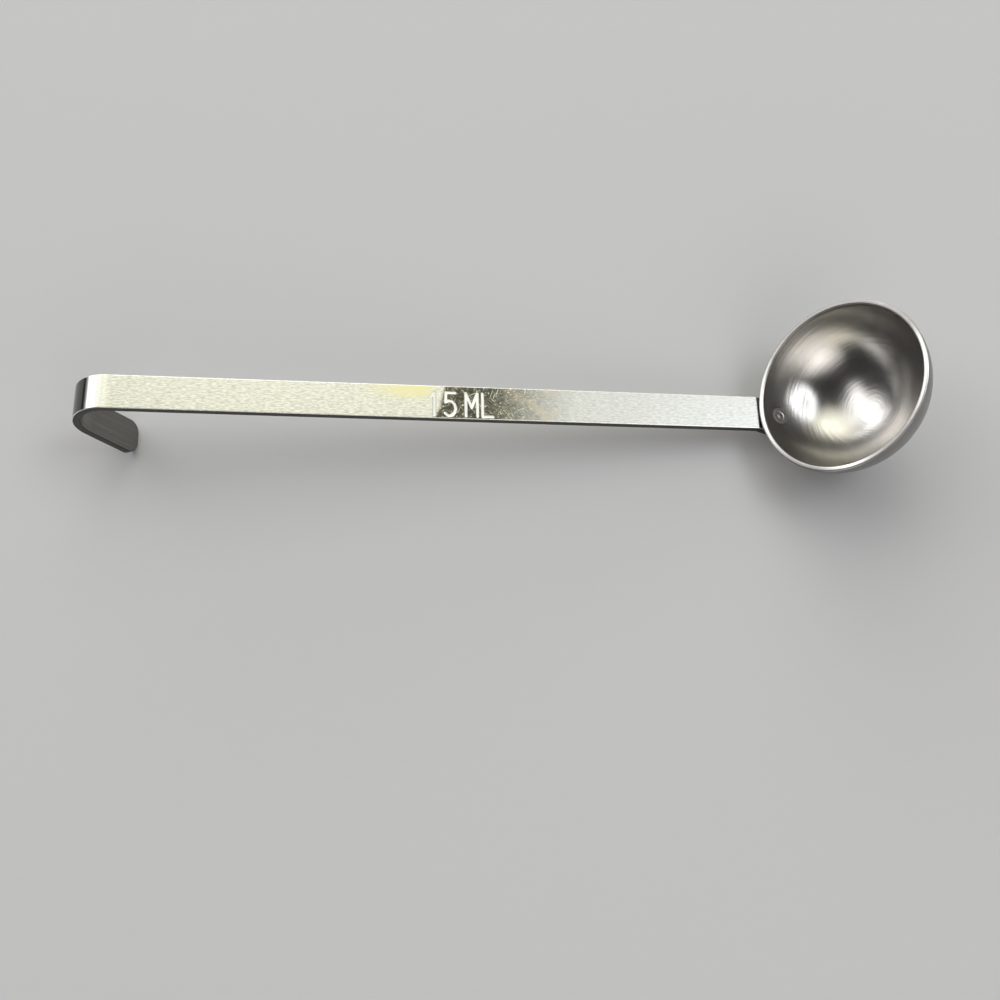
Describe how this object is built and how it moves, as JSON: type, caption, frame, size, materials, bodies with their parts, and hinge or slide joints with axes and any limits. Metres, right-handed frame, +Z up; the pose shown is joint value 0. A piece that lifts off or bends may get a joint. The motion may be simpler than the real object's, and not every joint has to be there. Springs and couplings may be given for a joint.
{
  "type": "ladle",
  "caption": "Small portion ladle: a hemispherical steel cup spot-welded to a flat strip handle that ends in a hanging hook.",
  "frame": {"origin": "on the surface that the ladle lies on, under the middle of its bounding box", "axes": "+X along the handle from the hook to the cup, +Z up from the surface; the ladle lies at rest on the end of the handle's welded seat and on the end of its hook, with the cup's mouth up and towards the handle"},
  "size_m": [0.1958, 0.0418, 0.0338],
  "materials": {
    "bowl_steel": "satin inside with fine polishing rings, bright plain rim",
    "handle_steel": "satin, brushed lengthwise, with lightly rounded bright edges",
    "weld_steel": "dull pressed spot"
  },
  "bodies": {
    "root": {"bowl": "bowl_steel", "handle": "handle_steel", "spot_weld": "weld_steel"}
  },
  "joints": []
}
